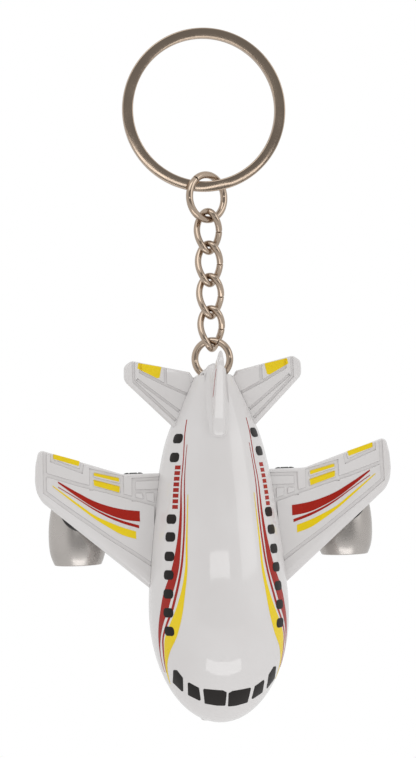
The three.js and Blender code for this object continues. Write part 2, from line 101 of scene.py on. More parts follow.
def curve(points, at):
    """A smooth curve through points [(x, y)], read at the places at."""
    x, y = np.array(points, float).T
    slope = np.gradient(y, x)
    at = np.clip(np.asarray(at, float), x[0], x[-1])
    i = np.clip(np.searchsorted(x, at) - 1, 0, len(x) - 2)
    width = x[i + 1] - x[i]
    t = (at - x[i]) / width
    return ((2 * t**3 - 3 * t**2 + 1) * y[i] + (t**3 - 2 * t**2 + t) * width * slope[i]
            + (3 * t**2 - 2 * t**3) * y[i + 1] + (t**3 - t**2) * width * slope[i + 1])


# Levels the barrel off where the nose begins.
MIRRORED_END = (2 * NOSE_START - TAIL_RADII[-2][0], TAIL_RADII[-2][1])


def radius_at(x):
    u = np.clip((x - NOSE_START) / (NOSE_END - NOSE_START), 0, 1)
    return np.where(x < NOSE_START, curve([*TAIL_RADII, MIRRORED_END], x), WIDEST * np.sqrt(1 - u * u))


def axis_height(x):
    """Height of the section's centre, where the shells meet."""
    rise = TAIL_RISE * (1 - np.clip(x, 0, TAIL_LENGTH) / TAIL_LENGTH) ** 1.6
    u = np.clip((x - NOSE_START) / (NOSE_END - NOSE_START), 0, 1)
    return rise - NOSE_DROOP * u * u


def surface(x, degrees, grow=0.0):
    """The fuselage's skin at station x, degrees round from the top towards port, with the radius grown."""
    x, degrees = np.broadcast_arrays(np.asarray(x, float), np.radians(degrees))
    radius = radius_at(x) + grow
    height = np.cos(degrees)
    height = np.where(height < 0, height * BELLY, height)
    return np.stack([x, radius * np.sin(degrees), axis_height(x) + radius * height], axis=-1)


def skin(x, degrees, lift):
    """The same skin moved out along its normal."""
    step = 0.02
    along = surface(np.asarray(x) + step, degrees) - surface(np.asarray(x) - step, degrees)
    around = surface(x, np.asarray(degrees) + step) - surface(x, np.asarray(degrees) - step)
    normal = np.cross(around, along)
    normal /= np.linalg.norm(normal, axis=-1, keepdims=True)
    middle = surface(x, degrees)
    centre = np.stack([middle[..., 0], np.zeros_like(middle[..., 0]), axis_height(middle[..., 0])], axis=-1)
    outward = np.sign(np.sum(normal * (middle - centre), axis=-1, keepdims=True))
    return middle + normal * outward * lift


def over(x, y, lift):
    """The skin seen from above: station x and distance y to port."""
    return skin(x, np.degrees(np.arcsin(np.clip(y / radius_at(x), -1, 1))), lift)


# ---- mesh helpers ----
def turned(u, v, angle):
    """The pair (u, v) turned by an angle in radians."""
    c, s = math.cos(angle), math.sin(angle)
    return c * u - s * v, s * u + c * v


def placed(name, data):
    """A new object in the scene."""
    obj = bpy.data.objects.new(name, data)
    bpy.context.scene.collection.objects.link(obj)
    return obj


def build(name, points, faces, place=airplane):
    """A closed mesh with its faces turned outwards and its shading smooth."""
    mesh = bpy.data.meshes.new(name)
    mesh.from_pydata(place(points).tolist(), [], faces)
    work = bmesh.new()
    work.from_mesh(mesh)
    bmesh.ops.recalc_face_normals(work, faces=work.faces)
    work.to_mesh(mesh)
    work.free()
    obj = placed(name, mesh)
    smooth(obj)
    return obj


def smooth(obj):
    obj.data.shade_smooth()
    obj.data.set_sharp_from_angle(angle=math.radians(CREASE))


def tube_faces(rings, count, closed):
    """Faces of a skin over rings of count points. A closed one meets itself, an open one has two caps."""
    faces = []
    for i in range(rings if closed else rings - 1):
        a, b = i * count, (i + 1) % rings * count
        faces += [(a + j, a + (j + 1) % count, b + (j + 1) % count, b + j) for j in range(count)]
    if not closed:
        faces += [tuple(range(count)), tuple(range((rings - 1) * count, rings * count))]
    return faces


def loft(name, rings, place=airplane):
    rings = np.array(rings, float)
    return build(name, rings.reshape(-1, 3), tube_faces(*rings.shape[:2], False), place)


def slab(name, outer, inner):
    """A closed sheet between two grids of points."""
    index = np.arange(outer[..., 0].size).reshape(outer.shape[:2])
    cells = [index[:-1, :-1], index[:-1, 1:], index[1:, 1:], index[1:, :-1]]
    cells = np.stack(cells, axis=-1).reshape(-1, 4)
    rim = np.concatenate([index[0], index[1:, -1], index[-1, -2::-1], index[-2:0:-1, 0]])
    ahead = np.roll(rim, -1)
    walls = np.stack([rim, ahead, ahead + index.size, rim + index.size], axis=-1)
    faces = np.concatenate([cells, cells + index.size, walls]).tolist()
    return build(name, np.concatenate([outer.reshape(-1, 3), inner.reshape(-1, 3)]), faces)


def lathe(name, profile, axis, centre, sides=96):
    """A solid of revolution. profile is [(radius, place along the axis)], closed or from axis to axis."""
    angles = np.linspace(0, 2 * np.pi, sides, endpoint=False)
    on_axis = profile[0][0] == 0
    kept = profile[1:-1] if on_axis else profile
    points = np.concatenate([
        np.column_stack([radius * np.cos(angles), radius * np.sin(angles), np.full(sides, float(along))])
        for radius, along in kept])
    faces = tube_faces(len(kept), sides, not on_axis)
    if on_axis:
        faces = faces[:-2]
        for tip, start in ((profile[0][1], 0), (profile[-1][1], (len(kept) - 1) * sides)):
            faces += [(start + j, start + (j + 1) % sides, len(points)) for j in range(sides)]
            points = np.vstack([points, (0, 0, tip)])
    return build(name, np.roll(points, "zxy".index(axis), axis=1) + np.array(centre, float), faces)


def rod(axis, centre, radius, start, end, sides=48):
    return lathe("cutter", [(0, start), (radius, start), (radius, end), (0, end)], axis, centre, sides)


def block(low, high):
    corners = [(x, y, z) for x in (low[0], high[0]) for y in (low[1], high[1]) for z in (low[2], high[2])]
    faces = [(0, 1, 3, 2), (4, 6, 7, 5), (0, 4, 5, 1), (2, 3, 7, 6), (0, 2, 6, 4), (1, 5, 7, 3)]
    return build("cutter", corners, faces)


def applied(obj):
    """Turns the object's modifiers into its mesh."""
    mesh = bpy.data.meshes.new_from_object(obj.evaluated_get(bpy.context.evaluated_depsgraph_get()))
    obj.modifiers.clear()
    obj.data = mesh
    return obj


def combine(obj, operation, *others, keep=False):
    """Boolean of obj with each of the others, which are then removed."""
    for other in others:
        step = obj.modifiers.new("boolean", "BOOLEAN")
        step.object, step.operation, step.solver = other, operation, "MANIFOLD"
        applied(obj)
        if not keep:
            bpy.data.objects.remove(other)
    return obj


def cut(obj, *others, keep=False):
    return combine(obj, "DIFFERENCE", *others, keep=keep)


def rounded(corners, degrees=7.5):
    """A polygon [(x, y, radius)] with its corners rounded by arcs, each on less than half of a side."""
    outline = []
    points = [np.array(corner[:2], float) for corner in corners]
    for i, corner in enumerate(corners):
        here = points[i]
        a, b = points[i - 1] - here, points[(i + 1) % len(points)] - here
        near, far = np.linalg.norm(a), np.linalg.norm(b)
        a, b = a / near, b / far
        opening = math.acos(np.clip(a @ b, -1, 1))
        turn = math.pi - opening
        if corner[2] == 0 or turn < 1e-3:
            outline.append(here)
            continue
        reach = min(corner[2] / math.tan(opening / 2), 0.49 * near, 0.49 * far)
        radius = reach * math.tan(opening / 2)
        centre = here + (a + b) / np.linalg.norm(a + b) * radius / math.sin(opening / 2)
        start, end = here + a * reach - centre, here + b * reach - centre
        count = max(2, math.ceil(math.degrees(turn) / degrees))
        turn *= math.copysign(1, start[0] * end[1] - start[1] * end[0])
        outline += [centre + turned(*start, turn * k / count) for k in range(count + 1)]
    return np.array(outline)


def rectangle(u, v):
    """Corners of a rectangle from its half sizes, anticlockwise."""
    return [(-u, -v), (u, -v), (u, v), (-u, v)]


def inward(outline):
    """For each point of an outline that runs anticlockwise, the step that moves its edges in by 1."""
    ahead = np.roll(outline, -1, axis=0) - outline
    ahead /= np.linalg.norm(ahead, axis=1, keepdims=True)
    normal = np.stack([-ahead[:, 1], ahead[:, 0]], axis=1)
    both = normal + np.roll(normal, 1, axis=0)
    return both / np.maximum(0.3, 0.5 * np.sum(both * both, axis=1, keepdims=True))


GROOVE_DEPTH = 0.24


def groove(path, top, width):
    """A cutter for an engraved line with sloped sides, along a path [(x, y)] on a face at height top."""
    path = np.array(path, float)
    ahead = np.diff(path, axis=0)
    ahead /= np.linalg.norm(ahead, axis=1, keepdims=True)
    path[0] -= ahead[0] * width / 2
    path[-1] += ahead[-1] * width / 2
    normal = np.stack([-ahead[:, 1], ahead[:, 0]], axis=1)
    side = np.vstack([normal[:1], normal[1:] + normal[:-1], normal[-1:]])
    side[1:-1] /= 0.5 * np.sum(side[1:-1] ** 2, axis=1, keepdims=True)
    section = [(-0.5, 0.1), (0.5, 0.1), (0.5, 0), (0.42, -GROOVE_DEPTH), (-0.42, -GROOVE_DEPTH), (-0.5, 0)]
    rings = [[(*(point + out * width * across), top + up) for across, up in section]
             for point, out in zip(path, side)]
    return loft("cutter", rings)


# ---- materials ----
GRAIN_DEPTH = 0.05 * MM


def fill(node, values):
    """Sets the values of a node's input sockets."""
    for socket, value in values.items():
        node.inputs[socket].default_value = value


def noise(tree, scale, detail=3.0, stretch=None):
    nodes, links = tree.nodes, tree.links
    source = nodes.new("ShaderNodeTexCoord").outputs["Object"]
    texture = nodes.new("ShaderNodeTexNoise")
    fill(texture, {"Scale": scale, "Detail": detail})
    if stretch:
        mapping = nodes.new("ShaderNodeMapping")
        fill(mapping, {"Scale": stretch})
        links.new(source, mapping.inputs["Vector"])
        source = mapping.outputs["Vector"]
    links.new(source, texture.inputs["Vector"])
    return texture.outputs["Fac"]


def ramp(tree, source, low, high, start=0.35, end=0.65):
    """Maps a source between start and end to values, or to colours, from low to high."""
    nodes, links = tree.nodes, tree.links
    if isinstance(low, tuple):
        node = nodes.new("ShaderNodeValToRGB")
        first, last = node.color_ramp.elements
        first.position, first.color = start, (*low, 1)
        last.position, last.color = end, (*high, 1)
        links.new(source, node.inputs["Fac"])
        return node.outputs["Color"]
    node = nodes.new("ShaderNodeMapRange")
    fill(node, {"From Min": start, "From Max": end, "To Min": low, "To Max": high})
    links.new(source, node.inputs["Value"])
    return node.outputs["Result"]


def material(name, colours, roughness, *, metallic=0.0, grain=0.0, grain_scale=900, tone_scale=60,
             coat=0.0, transmission=0.0, stretch=None, painted_crevice_shade=None, ior=1.46):
    """A surface whose colour and roughness drift slightly, with a fine bump. Its crevice shade is painted
    shade: how dark the colour gets where the surface is closed in, and from how near."""
    made = bpy.data.materials.new(name)
    made.use_nodes = True
    tree = made.node_tree
    nodes, links = tree.nodes, tree.links
    shader = nodes["Principled BSDF"]
    fill(shader, {"Metallic": metallic, "IOR": ior, "Coat Weight": coat, "Coat Roughness": 0.03,
                  "Transmission Weight": transmission})
    tone = ramp(tree, noise(tree, tone_scale, stretch=stretch), *colours)
    # Painted shade: the colour is multiplied down by ambient occlusion in creases, grooves and joins.
    if painted_crevice_shade:
        darkest, reach = painted_crevice_shade
        shade = nodes.new("ShaderNodeAmbientOcclusion")
        fill(shade, {"Distance": reach})
        mix = nodes.new("ShaderNodeMix")
        mix.data_type, mix.blend_type = "RGBA", "MULTIPLY"
        fill(mix, {"Factor": 1.0})
        links.new(tone, mix.inputs["A"])
        painted_shade = ramp(tree, shade.outputs["AO"], (darkest,) * 3, (1.0,) * 3, 0.25, 0.75)
        links.new(painted_shade, mix.inputs["B"])
        tone = mix.outputs["Result"]
    links.new(tone, shader.inputs["Base Color"])
    rough = ramp(tree, noise(tree, tone_scale * 4, stretch=stretch), *roughness)
    links.new(rough, shader.inputs["Roughness"])
    if grain:
        bump = nodes.new("ShaderNodeBump")
        fill(bump, {"Strength": grain, "Distance": GRAIN_DEPTH})
        links.new(noise(tree, grain_scale, 2.0, stretch), bump.inputs["Height"])
        links.new(bump.outputs["Normal"], shader.inputs["Normal"])
    return made


PRINTED = {"grain": 0.3, "grain_scale": 3200}
LOOKS = {
    # The shell's colour carries painted shade in its grooves, creases and joins.
    "shell": material(
        "glossy_white_plastic", ((0.69, 0.668, 0.66), (0.72, 0.70, 0.694)), (0.035, 0.07), coat=0.25,
        grain=0.1, grain_scale=420, painted_crevice_shade=(0.4, 0.25 * MM)),
    "nickel": material(
        "nickel_plate", ((0.43, 0.34, 0.265), (0.49, 0.39, 0.305)), (0.09, 0.13), metallic=1.0, grain=0.03,
        grain_scale=1500, tone_scale=70),
    "silver": material(
        "silver_paint", ((0.43, 0.4, 0.375), (0.5, 0.47, 0.445)), (0.24, 0.3), metallic=0.8, grain=0.14,
        grain_scale=4200),
    "black": material(
        "black_plastic", ((0.014, 0.013, 0.012), (0.026, 0.024, 0.023)), (0.35, 0.5), grain=0.6),
    "rubber": material(
        "black_rubber", ((0.012, 0.012, 0.012), (0.028, 0.027, 0.026)), (0.55, 0.75), grain=0.8,
        grain_scale=1800),
    "steel": material(
        "zinc_plated_steel", ((0.42, 0.42, 0.41), (0.6, 0.6, 0.58)), (0.22, 0.38), metallic=1.0, grain=0.5,
        grain_scale=1600, stretch=(1, 1, 6)),
    "clear": material(
        "clear_lamp", ((0.8, 0.79, 0.74), (0.9, 0.89, 0.86)), (0.04, 0.1), transmission=0.85),
    "board": material(
        "green_circuit_board", ((0.02, 0.12, 0.035), (0.04, 0.2, 0.06)), (0.3, 0.5), grain=0.7),
    "button": material(
        "red_button_plastic", ((0.36, 0.02, 0.014), (0.46, 0.035, 0.02)), (0.2, 0.34), grain=0.4),
    "print_red": material(
        "red_print", ((0.33, 0.010, 0.004), (0.38, 0.015, 0.006)), (0.22, 0.34), ior=1.35, **PRINTED),
    "print_yellow": material(
        "yellow_print", ((0.78, 0.57, 0.0), (0.86, 0.64, 0.006)), (0.22, 0.34), **PRINTED),
    "print_black": material(
        "black_print", ((0.009, 0.007, 0.006), (0.014, 0.011, 0.01)), (0.3, 0.42), ior=1.3, **PRINTED),
}


def finished(obj, look, body="airplane", nodes=()):
    """Gives a piece its look, the CAD body that it moves with, and the CAD nodes that it stands for."""
    obj.data.materials.clear()
    obj.data.materials.append(LOOKS[look])
    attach(obj, body)
    if nodes:
        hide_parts(*nodes)
    return obj


# ---- shells ----
BARREL = np.concatenate([np.linspace(0, NOSE_START, 84, endpoint=False),
                         NOSE_START + (NOSE_END - NOSE_START) * np.sin(np.linspace(0, 0.4995 * np.pi, 56))])


def whole(grow, start=-2.0, end=NOSE_END):
    """The closed fuselage, grown or shrunk, between two stations."""
    stations = BARREL[(BARREL > max(start, 0)) & (BARREL < end)]
    stations = np.concatenate([[start], stations, [end] if end < NOSE_END else []])
    angles = np.linspace(0, 360, 128, endpoint=False)
    return loft("cutter", [surface(x, angles, grow) for x in stations])


def half_shell(name, side):
    """The upper (side 1) or lower (side -1) half of the fuselage, still solid, with a rounded rear edge."""
    edge, steps = 0.4, 6
    rounding = edge * (1 - np.cos(np.linspace(0, np.pi / 2, steps + 1)))
    rings = []
    for k, x in enumerate([*rounding, *BARREL[2:]]):
        shrink = edge * (1 - math.sin(math.pi / 2 * k / steps)) if k < steps else 0
        radius = float(radius_at(x)) - shrink
        limit = math.degrees(math.acos(min(0.9, SEAM / radius if side > 0 else SEAM / (radius * BELLY))))
        middle = 0 if side > 0 else 180
        rings.append(surface(x, middle + np.linspace(-limit, limit, 97), -shrink))
    return loft(name, rings)


# Tabs by which the wings and tailplanes sit in the shells: rear, front, inner end, outer end and height.
TABS = {"wing": (21, 36, 6.6, 13, -0.1), "tailplane": (3, 6.5, 2.6, 7, 2.9)}
TAB_HALF, TAB_GAP = 0.5, 0.3
SLOT_ENDS = {"wing": 18, "tailplane": 12}


def tab(label, side, start, end, gap=0.0):
    """A tab from start to end across the airplane, grown by the gap where it is the slot for one."""
    rear, front, _, _, z = TABS[label]
    near, far = sorted((start * side, end * side))
    half = TAB_HALF + gap
    return block((rear - gap, near, z - half), (front + gap, far, z + half))


def tab_slots():
    return [tab(label, side, 0.5, end, TAB_GAP) for side in (1, -1) for label, end in SLOT_ENDS.items()]


UPPER_RING = {"radius": 4.1, "wire": 0.66, "seam": -38, "turn": 33}
LOWER_RING = {"radius": 3.35, "wire": 0.65, "seam": 25, "turn": -25}
EYE_HOLE = 0.95


def ring_sweep():
    """The room in the tail for the lower jump ring as it swings up and down."""
    around, across = 48, 14
    a, b = np.meshgrid(np.linspace(0, 2 * np.pi, around, endpoint=False),
                       np.linspace(0, 2 * np.pi, across, endpoint=False), indexing="ij")
    turn, radius = math.radians(-LOWER_RING["turn"]), LOWER_RING["radius"]
    reach = radius + EYE_HOLE * np.cos(b)
    flat = np.stack([reach * np.cos(a) - radius, reach * np.sin(a), EYE_HOLE * np.sin(b)], axis=-1)
    room = block((-3, -4, -4), (3, 4, 8))
    rings = []
    for angle in np.radians(range(-48, 25, 9)):
        x, y, z = flat.reshape(-1, 3).T
        x, z = turned(x, z, -angle)
        y, z = turned(y, z, turn)
        ring = build("cutter", np.column_stack([x + EYE_X, y, z + EYE_Z]), tube_faces(around, across, True))
        rings.append(combine(ring, "INTERSECT", room, keep=True))
    bpy.data.objects.remove(room)
    return rings


# The fin's front edge, rear edge and half width at heights above the fuselage's axis, eased between them.
FIN_HEIGHTS = [5, 7.2, 9.2, 12, 15.2, 15.7, 16]
FIN_NOSE = 0.9  # length of its rounded front against its half width
FIN_TAIL = 0.35  # length of its rounded rear
FIN_TAPER = 0.35  # how much narrower it gets towards the rear
FIN_LEVELS = np.linspace(FIN_HEIGHTS[0], FIN_HEIGHTS[-1], 160)


def eased(values):
    padded = np.pad(np.interp(FIN_LEVELS, FIN_HEIGHTS, values), 6, mode="reflect", reflect_type="odd")
    return np.convolve(padded, np.ones(13) / 13, mode="valid")


FIN_FRONT = eased([11.6, 11.4, 10.8, 4.8, -1.9, -2.6, -3.3])
FIN_REAR = eased([1.2, -0.1, -1.1, -2.5, -4.2, -4.38, -4.1])
FIN_HALF = eased([1.3, 1.25, 1.15, 0.95, 0.6, 0.45, 0.16])


def fin_size(z):
    """The fin's front edge, rear edge and half width at the height z."""
    return (np.interp(z, FIN_LEVELS, values) for values in (FIN_FRONT, FIN_REAR, FIN_HALF))


def fin_flank(x, z, side, lift):
    """Points of the fin's side at station x and height z, moved out by lift."""
    front, rear, half = fin_size(z)
    start, end = front - FIN_NOSE * half, rear + FIN_TAIL
    return np.stack([x, side * (half * (1 - FIN_TAPER * (x - start) / (end - start)) + lift), z], axis=-1)


def fin():
    """The swept fin, with a narrow leading face and a fillet where it grows out of the shell."""
    flank = [(0, f, 1, 1 - FIN_TAPER * f) for f in np.linspace(0, 1, 15)[1:-1]]
    bend = np.linspace(-np.pi / 2, np.pi / 2, 17)
    # Round the outline: roundness of the front, share of the rear, roundness of the rear, place across.
    outline = [*((abs(math.cos(a)) ** 0.5, 0, 0, math.sin(a)) for a in bend), *flank,
               *((0, 1, abs(s) ** 3, 0.62 * s) for s in (1, 0.75, 0.3, -0.3, -0.75, -1)),
               *((0, f, 1, -w) for _, f, _, w in reversed(flank))]
    blunt, aft, tail, across = np.array(outline).T

    def ring(z):
        """The fin's outline at the height z, which may differ from point to point."""
        front, rear, half = fin_size(z)
        front = front - FIN_NOSE * half * (1 - blunt)
        return np.column_stack([front * (1 - aft) + (rear + FIN_TAIL * tail) * aft, half * across])

    foot = ring(8.6)
    step = inward(foot)
    outward = -step / np.linalg.norm(step, axis=1, keepdims=True)
    fillet = 0.45 + 0.85 * np.clip((11.4 - foot[:, 0]) / 5, 0, 1)  # its radius, smallest in front
    sunk, steps = 0.04, 8
    rings = []
    for k in range(steps + 1):
        angle = math.radians(90 * k / steps)
        spot = foot + outward * (fillet * (1 - math.sin(angle)))[:, None]
        base = over(np.clip(spot[:, 0], 0.05, 40), spot[:, 1], 0.0)[:, 2]
        rings.append(np.column_stack([spot, base + fillet * (1 - math.cos(angle)) - sunk * (1 - k / steps)]))
    shoulder = rings[-1][:, 2]
    for f in np.linspace(0, 1, 40)[1:] ** 0.9:
        z = shoulder + (FIN_HEIGHTS[-1] - shoulder) * f
        settle = max(0.0, 1 - f * 8)
        rings.append(np.column_stack([ring(z) * (1 - settle) + foot * settle, z]))
    return loft("fin", rings)


def upper_shell(hollow):
    shell = half_shell("upper_shell_skin", 1)
    cut(shell, hollow, keep=True)
    cut(shell, *tab_slots(), *ring_sweep())
    blade = cut(fin(), *ring_sweep())
    with bpy.context.temp_override(active_object=shell, selected_editable_objects=[shell, blade]):
        bpy.ops.object.join()
    smooth(shell)
    return finished(shell, "shell", nodes=["upper_shell"])


def below_seam():
    """A cutter that holds everything below the line where the shells meet, at the tail."""
    line = [(x, axis_height(x) - SEAM) for x in np.arange(-6, 17, 1.0)]
    outline = [(-6, -20), *line, (16, -20)]
    return loft("cutter", [[(x, y, z) for x, z in outline] for y in (-20, 20)])


def tail_dome():
    """The rounded end of the lower shell, which the eye goes through."""
    x, size = 1.05, (2.5, 2.85, 2.3)
    around = np.linspace(0, 2 * np.pi, 64, endpoint=False)
    rings = [np.column_stack([np.full(len(around), x - size[0] * math.cos(a)),
                              size[1] * math.sin(a) * np.cos(around),
                              EYE_Z + size[2] * math.sin(a) * np.sin(around)])
             for a in np.linspace(0.01, math.pi - 0.01, 40)]
    return loft("cutter", rings)


def plate(name, outline, low, high, rim):
    """A flat plate with a rounded rim. rim is how far in from the edge the flat begins, at each point."""
    step = inward(outline) * np.broadcast_to(rim, len(outline))[:, None]
    middle, half = (low + high) / 2, (high - low) / 2
    rings = []
    for angle in np.radians(np.linspace(-90, 90, 15)):
        flat = outline + step * (1 - math.cos(angle))
        rings.append(np.column_stack([flat, np.full(len(flat), middle + half * math.sin(angle))]))
    return loft(name, rings)


def belly(x):
    return float(axis_height(x) - BELLY * radius_at(x))


SHELL_SCREWS = ("rear_shell_screw", "front_shell_screw")
SCREW_X = {name: sum(local_box(name))[0] / 2 for name in ("door_screw", *SHELL_SCREWS)}
HEAD, SHANK, SCREW_GAP = 1.45, 0.7, 0.1  # screw radii and the room round them
BOSS = 2.3
BUTTON_LOW, BUTTON_HIGH = local_box("push_button")
BUTTON_X = (BUTTON_LOW[0] + BUTTON_HIGH[0]) / 2
BUTTON_HOLE = 2.95
DOOR_LOW, DOOR_HIGH = local_box("battery_door")
DOOR_GAP = 0.15
WHEEL_LOW, WHEEL_HIGH = local_box("left_main_wheel")
WHEEL_AT = (WHEEL_LOW + WHEEL_HIGH) / 2
NOSE_WHEEL_LOW, NOSE_WHEEL_HIGH = local_box("nose_wheel")
NOSE_WHEEL_AT = (NOSE_WHEEL_LOW + NOSE_WHEEL_HIGH) / 2
WELL = (NOSE_WHEEL_HIGH - NOSE_WHEEL_LOW)[:2] / 2 + 0.45  # half the size of the nose wheel's well
ARM, BORE = 2, 0.9  # radii of the arms that carry the main axle, and of the axles' bores
SPEAKER_AT = sum(local_box("speaker")) / 2
SOUND_HOLE, SOUND_PITCH = 0.6, 3
UNDER = -16  # a height that is clear below the belly


def chin_lip():
    """The small flat lip under the nose."""
    tip = NOSE_END - 0.3
    corners = [(54, -3.2, 0), (tip, -3.7, 0.5), (NOSE_END + 0.05, 0, 30), (tip, 3.7, 0.5), (54, 3.2, 0)]
    return plate("cutter", rounded(corners), -4.4, -1.6, 0.35)


def lower_shell(hollow):
    shell = half_shell("lower_shell_skin", -1)
    cut(shell, hollow, keep=True)
    eye_low = combine(tail_dome(), "INTERSECT", below_seam())
    eye_back = combine(tail_dome(), "INTERSECT", block((-5, -8, -5), (-0.3, 8, 12)))
    combine(shell, "UNION", eye_low, eye_back, cut(chin_lip(), hollow, keep=True))
    for side in (1, -1):
        start, end = sorted((6 * side, (WHEEL_LOW[1] - 0.3) * side))
        arm = rod("y", (WHEEL_AT[0], 0, WHEEL_AT[2]), ARM, start, end)
        combine(shell, "UNION", cut(arm, whole(-2 * WALL, 4, 60)))
    screws = [SCREW_X[name] for name in SHELL_SCREWS]
    for x in screws:
        combine(shell, "UNION", rod("z", (x, 0, 0), BOSS, belly(x) + 0.8, float(axis_height(x)) - SEAM, 32))
    door_low, door_high = DOOR_LOW[:2] - DOOR_GAP, DOOR_HIGH[:2] + DOOR_GAP
    well_low, well_high = NOSE_WHEEL_AT[:2] - WELL, NOSE_WHEEL_AT[:2] + WELL
    spread = (-SOUND_PITCH, 0, SOUND_PITCH)
    cut(shell, *tab_slots(), *ring_sweep(),
        rod("y", (WHEEL_AT[0], 0, WHEEL_AT[2]), BORE, -14, 14),
        rod("y", (NOSE_WHEEL_AT[0], 0, NOSE_WHEEL_AT[2]), BORE, -4.6, 4.6),
        block((*well_low, UNDER), (*well_high, -6.2)),
        block((*door_low, UNDER), (*door_high, -5)),
        rod("z", (BUTTON_X, 0, 0), BUTTON_HOLE, UNDER, -8),
        *(rod("z", (x, 0, 0), HEAD + SCREW_GAP, UNDER, belly(x) + 3) for x in screws),
        *(rod("z", (SPEAKER_AT[0] + x, y, 0), SOUND_HOLE, -14, -6, 24) for x in spread for y in spread))
    smooth(shell)
    return finished(shell, "shell", nodes=["lower_shell"])


# ---- wings and tailplanes ----
# Outlines are (x, y, corner radius), lines and marks are (y, x), on the port side.
PANELS = {
    "wing": {
        "corners": [
            (17.7, 5, 0), (44.9, 5, 0), (38.8, 12.6, 12), (22.2, 31.9, 4), (20.4, 32.8, 4), (18.4, 33.04, 5),
            (15.5, 32.85, 5), (12.6, 32.15, 0.9), (17.7, 16.9, 3)],
        "rims": (0.4, 2.0),
        "groove": 0.75,
        "lines": [
            [(31.1, 12.2), (31.3, 20.4), (27.5, 23.4), (20, 29), (15, 32.4), (11.9, 34.6)],
            [(31.1, 17.2), (25, 19.25), (20, 20.65), (15, 22.2), (10.9, 23.5)],
            [(29.8, 13.3), (29.8, 14.7), (24.6, 16.8), (24.3, 15.2)],
            [(22.8, 20), (22.7, 16.8), (17.2, 18.2), (17.2, 21.4)],
            [(22.7, 18.2), (17.3, 19.7)],
            [(10.3, 18.65), (15, 18.75), (15.1, 22.3)],
            [(15, 20.9), (10.8, 20.9)],
            [(13.2, 20.9), (13, 22.7)],
            [(11, 20.9), (11, 23.4), (11.35, 34.6)],
        ],
    },
    "tailplane": {
        "corners": [
            (0.5, 2, 0), (11.5, 2, 0), (11.5, 5.5, 0.5), (0.6, 16.4, 1.9), (-2.1, 16.3, 1.2),
            (-3.05, 14.9, 1.2), (-0.62, 4.3, 0.3), (0.35, 3.7, 0.3)],
        "rims": (0.35, 0.9),
        "groove": 0.55,
        "lines": [
            [(14.6, -3.4), (14.6, 0.8), (7.4, 7.9)],
            [(13.9, 0.55), (6.7, 6.3)],
            [(13.3, -2.6), (13.3, -0.9), (9.4, 1.25), (5.1, 3.35)],
            [(8.8, -2.2), (8.8, 1.5)],
        ],
    },
}
YELLOW_MARKS = {
    "wing": [
        [(29.6, 13.45), (29.6, 14.35), (25, 15.85), (24.8, 14.95)],
        [(22.3, 17.15), (22.3, 17.7), (17.7, 19.0), (17.7, 18.3)],
        [(22.4, 18.4), (22.3, 19.5), (17.7, 21.0), (17.6, 19.85)],
    ],
    "tailplane": [[(13.7, -2.6), (13.9, -1.6), (10.4, 0.3), (9.9, 0.2), (9.5, -1.75)]],
}


def flipped(points, side):
    """(y, x) pairs as (x, y) on the port (side 1) or starboard (side -1) side."""
    return [(x, y * side) for y, x in points]


def panel(name, label, side):
    """A wing or a tailplane, with a wider rounding along its front edge than along the others."""
    shape = PANELS[label]
    low, high = local_box(f"{name}_{label}")
    outline = (rounded(shape["corners"]) * (1, side))[::side]  # anticlockwise on both sides
    step = inward(outline)
    forward = np.clip(-step[:, 0] / np.linalg.norm(step, axis=1), 0, 1)
    narrow, wide = shape["rims"]
    rim = narrow + (wide - narrow) * np.minimum(1, forward / 0.7)
    made = plate(f"{name}_{label}_skin", outline, low[2], high[2], rim)
    lines = [groove(flipped(line, side), high[2], shape["groove"]) for line in shape["lines"]]
    cut(made, whole(0.015), *lines)
    combine(made, "UNION", tab(label, side, *TABS[label][2:4]))
    smooth(made)
    # Large flat faces stay flat beside the rounded edges.
    made.modifiers.new("flat_faces", "WEIGHTED_NORMAL").keep_sharp = True
    finished(applied(made), "shell", nodes=[f"{name}_{label}"])


def mark(name, outline, top, lines, width):
    """A yellow patch on a flat face. It follows the engraved lines that it crosses."""
    deep = 0.4
    rings = [np.column_stack([outline, np.full(len(outline), z)]) for z in (top - deep, top + PRINT)]
    patch = loft(name, rings)
    cut(patch, *(groove(line, top + PRINT, width - 0.08) for line in lines))
    smooth(patch)
    finished(patch, "print_yellow")


def band(edges, count):
    """Points between the two smooth edges [(station, edge, other edge)], and the stations they stand at."""
    places, a, b = np.array(edges, float).T
    stations = np.linspace(places[0], places[-1], count)
    a, b = curve(np.column_stack([places, a]), stations), curve(np.column_stack([places, b]), stations)
    across = a[:, None] + (b - a)[:, None] * np.linspace(0, 1, 6)
    return across, np.broadcast_to(stations[:, None], across.shape)


# Stations are distances from the middle, edges are distances from the tail end.
WING_SWOOSHES = {
    "upper_red_swoosh": ("print_red", [
        (14.1, 24.5, 26.4), (15, 24.4, 26.3), (17.5, 24, 25.8), (20, 23.3, 24.8), (22.5, 22.3, 23.5),
        (25, 20.9, 21.8), (28.9, 18.5, 18.8)]),
    "lower_red_swoosh": ("print_red", [
        (14.3, 27.1, 27.65), (17.5, 26.05, 26.55), (20, 25, 25.4), (22.5, 23.65, 23.95), (25, 22, 22.2),
        (28.9, 19.45, 19.6)]),
    "yellow_swoosh": ("print_yellow", [
        (14.9, 28.2, 29.6), (17.5, 27.3, 28.7), (20, 26.2, 27.2), (22.5, 24.9, 25.5), (25, 23, 23.5),
        (29.9, 19.2, 19.4)]),
}


